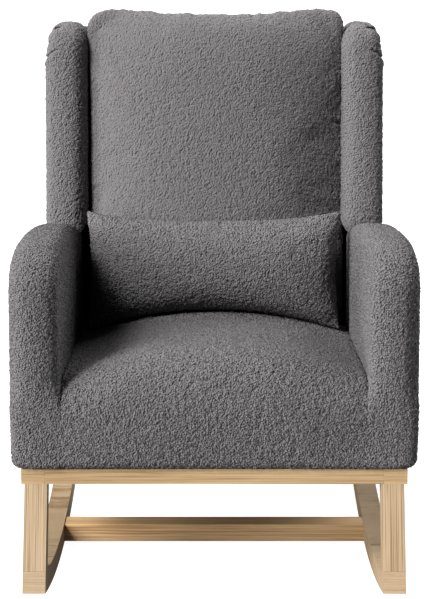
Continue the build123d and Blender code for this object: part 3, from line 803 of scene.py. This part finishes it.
def cushion_front(x, v):
    """How far the front of the back cushion lies behind its plane."""
    s = np.clip(np.abs(x) / 258.0, 0, 1.1)
    t = np.clip((v - 200.0) / 235.0, 0, 1.1)
    b = np.clip((60.0 - v) / 300.0, 0, 1.0)
    return CROWN * np.clip(s**2.35 + 0.75 * t**4.2 + 0.22 * b**2, 0, 1.12)


cushion_outline = polygon_depth(
    rounded_polygon(
        [
            (-251.0, -225.0, 10.0),
            (-250.0, 255.0, 0.0),
            (-255.0, 340.0, 0.0),
            (-259.0, 436.0, 38.0),
            (-178.0, 437.6, 80.0),
            (-95.0, 428.5, 300.0),
            (60.0, 424.0, 300.0),
            (178.0, 438.0, 80.0),
            (261.0, 438.5, 31.0),
            (262.0, 200.0, 0.0),
            (260.0, -225.0, 10.0),
        ]
    )
)


def uv_of(y, z):
    dy, dz = y - BACK_Y, z - BACK_Z
    return dy * CB - dz * SB, dy * SB + dz * CB


def cushion_solid(x, y, z):
    u, v = uv_of(y, z)
    d = cushion_outline(x, v)
    uf = cushion_front(x, v)
    mid, half = (uf + 114.6) / 2, (114.6 - uf) / 2
    f = round_max(d, np.abs(u - mid) - half, np.minimum(half * 0.92, 24.0))
    seat = seat_top(x, y) + 1.0 - z
    return smooth_max(f, seat, 6.0)


def puckered(p):
    """Draws the cloth in at a few places along the cushion's side seams."""
    u, v = uv_of(p[:, 1], p[:, 2])
    move = np.zeros(len(p))
    for side, v0, run, rise, depth in (
        (-1, 281.0, 24.0, 12.0, 5.0),
        (-1, 232.0, 18.0, 3.0, 4.5),
        (-1, 72.0, 34.0, 9.0, 6.0),
        (-1, 140.0, 14.0, -4.0, 3.0),
        (1, 206.0, 26.0, 6.0, 5.5),
        (1, 120.0, 14.0, 4.0, 3.0),
    ):
        t = (262.0 - side * p[:, 0]) / run
        line = v - (v0 + rise * np.clip(t, 0, 1.5))
        fade = np.clip(1.25 - t, 0, 1) * (u < 80.0)
        move += fade * (depth * np.exp(-((line / 3.2) ** 2)) - 0.3 * depth * np.exp(-(((np.abs(line) - 9.0) / 6.0) ** 2)))
    # the seam along the top puckers the cloth at every few stitches
    ripple = value_noise(p * [1.0, 0.0, 0.0], 13.0, 91) + 0.6 * value_noise(p * [1.0, 0.3, 0.0], 7.0, 92)
    ripple = 1.5 * ripple * sstep(385.0, 425.0, v)
    out = p + np.stack([0 * ripple, SB * ripple, CB * ripple], 1)
    out[:, 0] -= np.sign(p[:, 0]) * move * 0.8
    out[:, 1] += move * 0.6 * CB
    out[:, 2] -= move * 0.6 * SB
    return out


# ------------------------------------------------------------------ pad inside the back, and the outside back
def inside_pad_solid(x, y, z):
    u, v = uv_of(y, z)
    pad = np.maximum(np.abs(u - 126.0) - 10.6, -1e9)
    pad = round_max(pad, np.abs(x) - 254.6, 6.0)
    lip = round_max(np.abs(u - 145.0) - 29.6, np.abs(z - 737.0) - 13.0, 9.0)
    lip = round_max(lip, np.abs(x) - 254.6, 6.0)
    body = smooth_min(pad, lip, 6.0)
    body = smooth_max(body, z - 750.0, 8.0)
    return np.maximum(body, seat_top(x, y) + 1.5 - z)


outside_outline = polygon_depth(
    rounded_polygon(
        [(-336.5, 27.5, 8.0), (-336.5, 750.0, 27.0), (336.5, 750.0, 27.0), (336.5, 27.5, 8.0)]
    )
)


def outside_solid(x, y, z):
    u, v = uv_of(y, z)
    d = outside_outline(x, z)
    swell = 2.6 * np.clip(-d / 60.0, 0, 1) ** 0.6
    return round_max(d, np.abs(u - 179.8 - swell / 2) - 4.4 - swell / 2, 4.3)


STEP = 2.6
NUB, NUB_H = 4.5, 2.8


def finish_surface(v, q, seed, pile=1.0):
    return nubs(v, q, size=NUB, height=NUB_H * pile, seed=seed)


v, q = solid_mesh(arm_solid, (262, -22, 20), (362, 700, 424), STEP)
arm_v = finish_surface(v, q, 11)
fabric_piece("arm_cover_right", arm_v, q, BOUCLE, replaces=("arm_pad_right",))
arm_v = finish_surface(v * [-1, 1, 1], q[:, ::-1], 12)
fabric_piece("arm_cover_left", arm_v, q[:, ::-1], BOUCLE, replaces=("arm_pad_left",))

v, q = solid_mesh(wing_solid, (248, 530, 334), (344, 756, 778), STEP)
fabric_piece("wing_cover_right", finish_surface(v, q, 21), q, BOUCLE_WING, replaces=("wing_pad_right",))
fabric_piece(
    "wing_cover_left", finish_surface(v * [-1, 1, 1], q[:, ::-1], 22), q[:, ::-1], BOUCLE_WING, replaces=("wing_pad_left",)
)

v, q = solid_mesh(seat_solid, (-276, -30, 20), (276, 640, 242), STEP)
fabric_piece("seat_cover", finish_surface(v, q, 31, 1.2), q, BOUCLE, replaces=("seat_cushion",))

v, q = solid_mesh(cushion_solid, (-268, 440, 140), (268, 702, 806), 6.0)
cu, cv = uv_of(v[:, 1], v[:, 2])
held = (cu > 84.0) | (cv < -150.0)
blown = inflate(v, q, held, pressure=4.0, slack=0.006, stiffness=80.0, bending=2.0, cap=20.0)
# the sides stay flat against the wings
over = np.abs(blown[:, 0]) - np.maximum(np.abs(v[:, 0]), 240.0) - 0.5
blown[:, 0] -= np.sign(blown[:, 0]) * np.maximum(over, 0.0)
v, q = subdivided(smoothed(blown, q, 4, 0.5), q)
v = puckered(v)
fabric_piece("back_cushion_cover", finish_surface(v, q, 41, 0.85), q, BOUCLE_BACK, replaces=("back_cushion",))

v, q = solid_mesh(inside_pad_solid, (-262, 560, 140), (262, 760, 775), max(STEP, 4.0))
fabric_piece("inside_back_cover", finish_surface(v, q, 51), q, BOUCLE, replaces=("inside_back_pad",))

v, q = solid_mesh(outside_solid, (-342, 610, 20), (342, 775, 772), max(STEP, 3.0))
fabric_piece("outside_back_cover", finish_surface(v, q, 61), q, BOUCLE, replaces=("outside_back",))


# ------------------------------------------------------------------ lumbar pillow
def pillow_grid(nx, ny):
    """Two sheets that share their edge, over -1..1 each way, and which side each point is on."""
    xs, ys = np.linspace(-1, 1, nx), np.linspace(-1, 1, ny)
    pts, side, ids = [], [], {}
    for s in (1, -1):
        for j in range(ny):
            for i in range(nx):
                rim = i in (0, nx - 1) or j in (0, ny - 1)
                key = (i, j, 0 if rim else s)
                if key not in ids:
                    ids[key] = len(pts)
                    pts.append((xs[i], ys[j]))
                    side.append(0 if rim else s)
    faces = []
    for s in (1, -1):
        for j in range(ny - 1):
            for i in range(nx - 1):
                c = []
                for a, b in ((i, j), (i + 1, j), (i + 1, j + 1), (i, j + 1)):
                    rim = a in (0, nx - 1) or b in (0, ny - 1)
                    c.append(ids[(a, b, 0 if rim else s)])
                faces.append(c if s == 1 else c[::-1])
    return np.array(pts), np.array(side), np.array(faces)


def pillow_points(pts, side):
    """Plain inflated pillow: x across, z up the seam plane, w forward of it, in mm."""
    x, t = pts[:, 0], pts[:, 1]
    lens = (np.clip(1 - np.abs(x) ** 4.5, 0, 1) * np.clip(1 - np.abs(t) ** 2.2, 0, 1)) ** 0.55
    # the seams pull in between the corners
    px = x * (251.0 - 9.0 * (1 - t**2)) - 1.8
    return px, t, side * lens


def place_pillow(px, t, lens):
    """Seats the pillow on the crown of the seat against the back cushion."""
    s = px / 251.0
    y_mid = 470.0 + 14.0 * s * s
    low = seat_top(px, y_mid) + 3.0
    high = 386.0 + 18.0 * np.abs(s) ** 2.6
    z = low + (high - low) * (t + 1) / 2
    front = np.where(lens > 0, 50.0 * lens, 32.0 * lens)
    # the belly hangs low on the front
    z = z - 7.0 * np.clip(lens, 0, 1) * (1 - t) / 2
    y = y_mid + (z - 290.0) * LEAN * 0.9 - front
    return np.stack([px, y, np.maximum(z, seat_top(px, y) + 1.2)], 1)


pts, side, q = pillow_grid(111, 45)
px, t, lens = pillow_points(pts, side)
v = place_pillow(px, t, lens)
q = q[:, ::-1] if (np.cross(v[q[0, 1]] - v[q[0, 0]], v[q[0, 2]] - v[q[0, 0]])[1] > 0) else q
v = inflate(v, q, side < 1, pressure=4.0, slack=0.007, stiffness=60.0, bending=1.0, cap=16.0)
v[:, 2] = np.maximum(v[:, 2], seat_top(v[:, 0], v[:, 1]) + 1.2)
v, q = subdivided(v, q)
fabric_piece("lumbar_pillow_cover", finish_surface(v, q, 71), q, BOUCLE_PILLOW, body="pillow", replaces=("lumbar_pillow",))

# ------------------------------------------------------------------ wood, metal and hidden parts
def row_dir(d):
    return (d[0], d[1] * CT + d[2] * ST, -d[1] * ST + d[2] * CT)


def set_material(node, m):
    ob = nodes[node]
    ob.data.materials.clear()
    ob.data.materials.append(m)


def centre(node):
    lo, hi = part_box(node)
    return (lo + hi) / 2


OAK_TONES = ((168, 147, 119), (151, 129, 101), (122, 99, 73))
RAIL_TONES = ((180, 154, 118), (162, 135, 98), (139, 111, 77))
# the stretcher's oak is a painted copy, lighter and more saturated than the legs' oak, standing in for how the oak
# looks in the shade under the seat
STRETCHER_TONES = ((207, 173, 130), (186, 151, 108), (155, 120, 82))


def oak(node, along, pith_off, seed, tones=OAK_TONES, figure=1.0, level=False):
    pith = centre(node) + Vector(pith_off)
    set_material(node, oak_material("oak_" + node, row_dir(along), pith, seed, tones, figure, level))


oak("front_rail", (1, 0, 0), (0, 0.09, -0.14), 1, RAIL_TONES)
oak("rear_rail", (1, 0, 0), (0, -0.07, 0.15), 2, RAIL_TONES)
oak("stretcher", (1, 0, 0), (0, 0.12, 0.05), 3, STRETCHER_TONES, 1.5)
for s, side_name in ((1, "right"), (-1, "left")):
    oak("side_rail_" + side_name, (0, 1, 0), (0, 0, -0.4), 4 + s, RAIL_TONES, level=True)
    oak("front_leg_" + side_name, (0, -0.415, -1), (0.13, 0.10 * s, 0), 8 + s, figure=1.3)
    oak("rear_leg_" + side_name, (0, 1, 0), (0, 0, -0.5), 12 + s, figure=0.6, level=True)
    oak("rocker_" + side_name, (0, 1, 0), (0, 0, 0.5), 16 + s, figure=0.7, level=True)

FRAME_WOOD = oak_material("frame_wood", (1, 0, 0), (0.2, 0.3, -0.4), 30, ((206, 180, 140), (188, 158, 116), (166, 134, 96)))
BEECH = oak_material("beech_dowel", (1, 0, 0), (0.1, 0.2, 0.1), 31, ((220, 190, 150), (204, 170, 130), (186, 150, 112)))
ZINC = plain_material("zinc", (176, 178, 182), rough=0.38, metallic=1.0, grain=500.0, depth=0.00005, shift=0.08)
WIRE = plain_material("spring_wire", (120, 121, 124), rough=0.42, metallic=1.0, grain=700.0, depth=0.00005, shift=0.1)
FELT = plain_material("felt", (150, 146, 138), rough=1.0, grain=420.0, depth=0.0008, shift=0.3)
WEB = woven_material("elastic_webbing", (132, 112, 84))
for n in nodes:
    if n.startswith(("arm_frame", "wing_panel", "back_post", "back_top_rail", "back_lower_rail", "seat_corner", "seat_cross", "seat_front_rail", "seat_rear_rail", "seat_side_rail")):
        set_material(n, FRAME_WOOD)
    elif n.endswith("_dowels"):
        set_material(n, BEECH)
    elif n in ("body_bolts", "bolt_washers", "insert_nuts", "spring_clips"):
        set_material(n, ZINC)
    elif n == "seat_springs":
        set_material(n, WIRE)
    elif n == "spring_felt":
        set_material(n, FELT)
    elif n == "back_webbing":
        set_material(n, WEB)

# ------------------------------------------------------------------ dust cover, stapled under the body
COVER_X, COVER_Y0, COVER_Y1, COVER_Z = 296.0, 42.0, 594.0, 27.5
STAPLE_GAP = 46.0


def staple_spots():
    """Where the staples sit round the cover's hem, with the way each crown runs."""
    out = []
    for n, lo, hi, fixed, axis in (
        (12, -276.0, 276.0, COVER_Y0 + 5.5, 0),
        (12, -276.0, 276.0, COVER_Y1 - 5.5, 0),
        (11, 60.0, 576.0, -COVER_X + 5.5, 1),
        (11, 60.0, 576.0, COVER_X - 5.5, 1),
    ):
        for i in range(n + 1):
            a = lo + (hi - lo) * i / n
            out.append(((a, fixed) if axis == 0 else (fixed, a), axis))
    return out


def sheet_drop(x, y):
    """How far the cloth hangs below the frame: it is flat at the hem, and sags between."""
    s, t = x / COVER_X, (y - COVER_Y0) / (COVER_Y1 - COVER_Y0) * 2 - 1
    sag = 3.4 * (1 - s**2) ** 0.8 * (1 - t**2) ** 0.8
    edge = np.minimum(COVER_X - np.abs(x), np.minimum(y - COVER_Y0, COVER_Y1 - y))
    along = np.where(COVER_X - np.abs(x) < np.minimum(y - COVER_Y0, COVER_Y1 - y), y, x)
    ruck = 0.35 * np.cos(along / STAPLE_GAP * 2 * math.pi) * np.exp(-edge / 26.0) * sstep(4.0, 16.0, edge)
    p = np.stack([x, y, 0 * x], 1)
    return sag + ruck + 0.35 * value_noise(p, 90, 5) * sstep(0.0, 40.0, edge)


def thin_sheet(nx, ny, thick):
    xs = np.linspace(-COVER_X, COVER_X, nx)
    ys = np.linspace(COVER_Y0, COVER_Y1, ny)
    gx, gy = (a.ravel() for a in np.meshgrid(xs, ys, indexing="ij"))
    low = COVER_Z - 0.9 - np.clip(sheet_drop(gx, gy), -0.4, 9)
    top = np.stack([gx, gy, low + thick], 1)
    bot = np.stack([gx, gy, low], 1)
    idx = np.arange(nx * ny).reshape(nx, ny)
    q = np.stack([idx[:-1, :-1], idx[1:, :-1], idx[1:, 1:], idx[:-1, 1:]], -1).reshape(-1, 4)
    n = nx * ny
    rim = np.concatenate([idx[:, 0], idx[-1, 1:], idx[-2::-1, -1], idx[0, -2:0:-1]])
    nxt = np.roll(rim, -1)
    wall = np.stack([rim + n, nxt + n, nxt, rim], 1)
    return np.concatenate([top, bot]), np.concatenate([q, q[:, ::-1] + n, wall])


def hem_strips(width, thick):
    """The turned-under edge, a second layer round the sheet."""
    v, q = [], []
    runs = [
        ((-COVER_X, COVER_Y0), (COVER_X, COVER_Y0), (0, 1)),
        ((COVER_X, COVER_Y1), (-COVER_X, COVER_Y1), (0, -1)),
        ((-COVER_X, COVER_Y1 - width), (-COVER_X, COVER_Y0 + width), (1, 0)),
        ((COVER_X, COVER_Y0 + width), (COVER_X, COVER_Y1 - width), (-1, 0)),
    ]
    for (x0, y0), (x1, y1), (ix, iy) in runs:
        n = 80
        base = len(v)
        for i in range(n + 1):
            a = i / n
            px, py = x0 + (x1 - x0) * a, y0 + (y1 - y0) * a
            wob = 0.7 * math.sin(a * 37.0) + 0.5 * math.sin(a * 91.0 + 1.0)
            for w, dz in ((0.5, 0.0), (0.6, -thick), (width * 0.5, -thick - 0.15), (width + wob, -thick), (width + wob + 0.3, 0.0)):
                v.append((px + ix * w, py + iy * w, COVER_Z - 0.95 + dz))
        k = 5
        for i in range(n):
            for j in range(k):
                a0, a1 = base + i * k + j, base + i * k + (j + 1) % k
                q.append((a0, a1, a1 + k, a0 + k))
        q.append(tuple(base + j for j in (0, 4, 3, 1)))
        e = base + n * k
        q.append(tuple(e + j for j in (0, 1, 3, 4)))
    return np.array(v, float), np.array(q)


def staples(wire=0.55, crown=10.0, leg=1.2):
    v, q = [], []
    for (x, y), axis in staple_spots():
        d = np.array([1.0, 0, 0]) if axis == 0 else np.array([0, 1.0, 0])
        e = np.array([0, 1.0, 0]) if axis == 0 else np.array([1.0, 0, 0])
        c = np.array([x, y, COVER_Z - 2.35])
        half = crown / 2
        path = [(-half, leg), (-half, 0.5), (-half + 0.45, 0.06), (-half + 1.2, 0.0), (half - 1.2, 0.0), (half - 0.45, 0.06), (half, 0.5), (half, leg)]
        base = len(v)
        for a, h in path:
            for cx, cz in ((-wire, 0), (-wire * 0.6, -wire * 0.55), (wire * 0.6, -wire * 0.55), (wire, 0), (wire * 0.6, wire * 0.55), (-wire * 0.6, wire * 0.55)):
                v.append(c + d * a + e * cx + np.array([0, 0, h + cz]))
        for i in range(len(path) - 1):
            for j in range(6):
                a0, a1 = base + i * 6 + j, base + i * 6 + (j + 1) % 6
                q.append((a0, a1, a1 + 6, a0 + 6))
    return np.array(v, float), np.array(q)


DUST = plain_material("dust_cloth", (38, 38, 40), rough=0.95, grain=1500.0, depth=0.0002, shift=0.25)
v, q = thin_sheet(90, 84, 0.6)
cover = new_piece("dust_cover_cloth", to_row(v), q)
cover.data.materials.append(DUST)
v, q = hem_strips(13.0, 0.55)
hem = new_piece("dust_cover_hem", to_row(v), q)
hem.data.materials.append(DUST)
v, q = staples()
pins = new_piece("dust_cover_staples", to_row(v), q)
pins.data.materials.append(ZINC)
for ob, slot_name in ((cover, "dust_cloth"), (hem, "dust_cloth"), (pins, "zinc_steel")):
    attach(ob, "chair")
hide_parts("dust_cover")

# ------------------------------------------------------------------ felt between the springs and the seat
FELT_X, FELT_Y0, FELT_Y1, FELT_Z0, FELT_Z1 = 241.0, 12.0, 599.0, 103.7, 106.7


def felt_grid(nx, ny):
    xs, ys = np.linspace(-FELT_X, FELT_X, nx), np.linspace(FELT_Y0 + 1, FELT_Y1 - 4, ny)
    gx, gy = (a.ravel() for a in np.meshgrid(xs, ys, indexing="ij"))
    p = np.stack([gx, gy, 0 * gx], 1)
    low = FELT_Z0 + 0.35 + 0.3 * value_noise(p, 40, 81) + 0.25 * np.cos(gx / 92.0 * 2 * math.pi)
    high = FELT_Z1 - 0.45 + 0.35 * value_noise(p, 24, 82)
    idx = np.arange(nx * ny).reshape(nx, ny)
    q = np.stack([idx[:-1, :-1], idx[1:, :-1], idx[1:, 1:], idx[:-1, 1:]], -1).reshape(-1, 4)
    n = nx * ny
    rim = np.concatenate([idx[:, 0], idx[-1, 1:], idx[-2::-1, -1], idx[0, -2:0:-1]])
    nxt = np.roll(rim, -1)
    wall = np.stack([rim + n, nxt + n, nxt, rim], 1)
    v = np.concatenate([np.stack([gx, gy, high], 1), np.stack([gx, gy, low], 1)])
    return v, np.concatenate([q, q[:, ::-1] + n, wall])


v, q = felt_grid(60, 72)
felt = new_piece("spring_felt_pad", to_row(v), q)
felt.data.materials.append(FELT)
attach(felt, "chair")
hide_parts("spring_felt")

# ------------------------------------------------------------------ floor, lights, camera
bpy.ops.mesh.primitive_plane_add(size=80.0, location=(0, 20.0, -0.0008))
floor = bpy.context.object
floor.name = "floor"
floor_mat, nt, bsdf = material("floor")
n = add(nt, "ShaderNodeTexNoise", Scale=3.0, Detail=2.0)
tex = nt.nodes.new("ShaderNodeTexCoord")
nt.links.new(tex.outputs["Object"], n.inputs["Vector"])
nt.links.new(ramp(nt, n.outputs[0], [(0.0, (0.34, 0.34, 0.34, 1)), (1.0, (0.36, 0.36, 0.36, 1))]), bsdf.inputs["Base Color"])
bsdf.inputs["Roughness"].default_value = 0.9
bsdf.inputs["Specular IOR Level"].default_value = 0.1
bsdf.inputs["Emission Color"].default_value = (1.0, 1.0, 1.0, 1)
bsdf.inputs["Emission Strength"].default_value = 0.88
floor_mat.cycles.emission_sampling = "NONE"
floor.data.materials.append(floor_mat)

# a dark card over the floor takes up the light that would bounce back up at the chair
bpy.ops.mesh.primitive_plane_add(size=80.0, location=(0, 20.0, -0.0003))
card = bpy.context.object
card.name = "dark_card"
card.visible_camera = False
card.visible_shadow = False
card_mat, nt, bsdf = material("dark_card")
bsdf.inputs["Base Color"].default_value = (0.25, 0.25, 0.25, 1)
bsdf.inputs["Roughness"].default_value = 0.9
bsdf.inputs["Specular IOR Level"].default_value = 0.1
card.data.materials.append(card_mat)

world = bpy.data.worlds.new("studio")
scene.world = world
world.use_nodes = True
bg = world.node_tree.nodes["Background"]
bg.inputs[0].default_value = (1.0, 1.0, 1.0, 1)
bg.inputs[1].default_value = 0.02


def studio(name, az, el, strength, angle=18.0):
    """A far soft light at a bearing from the chair's front and a height, both in degrees."""
    a, e = math.radians(az), math.radians(el)
    d = Vector((math.sin(a) * math.cos(e), -math.cos(a) * math.cos(e), math.sin(e)))
    data = bpy.data.lights.new(name, "SUN")
    data.energy = strength
    data.angle = math.radians(angle)
    ob = bpy.data.objects.new(name, data)
    scene.collection.objects.link(ob)
    ob.rotation_mode = "QUATERNION"
    ob.rotation_quaternion = d.to_track_quat("Z", "Y")
    ob.location = d * 4.0
    return ob


studio("side", -68, 8, 2.5)
studio("near_low", -46, 26, 2.2)
studio("near_high", -47, 46, 3.2)
studio("high_left", -78, 60, 1.3)
studio("right", 95, 15, 0.28)
studio("back_right", 140, 40, 2.7, 30.0)

cam_data = bpy.data.cameras.new("camera")
cam = bpy.data.objects.new("camera", cam_data)
scene.collection.objects.link(cam)
cam_data.sensor_width = 36.0
cam_data.lens = 1792.2 * 36.0 / 599.0
cam_data.shift_x = -1.8 / 599.0
cam_data.shift_y = 0.5 / 599.0
cam_data.clip_start, cam_data.clip_end = 0.05, 200.0
cam.location = to_row((0.0, -3000.0, 966.95))
cam.rotation_euler = (math.radians(90.0 - 12.0) - TILT, 0.0, 0.0)
scene.camera = cam

scene.view_settings.view_transform = "Standard"
scene.view_settings.look = "None"
scene.view_settings.exposure = 0.0
scene.view_settings.gamma = 1.0
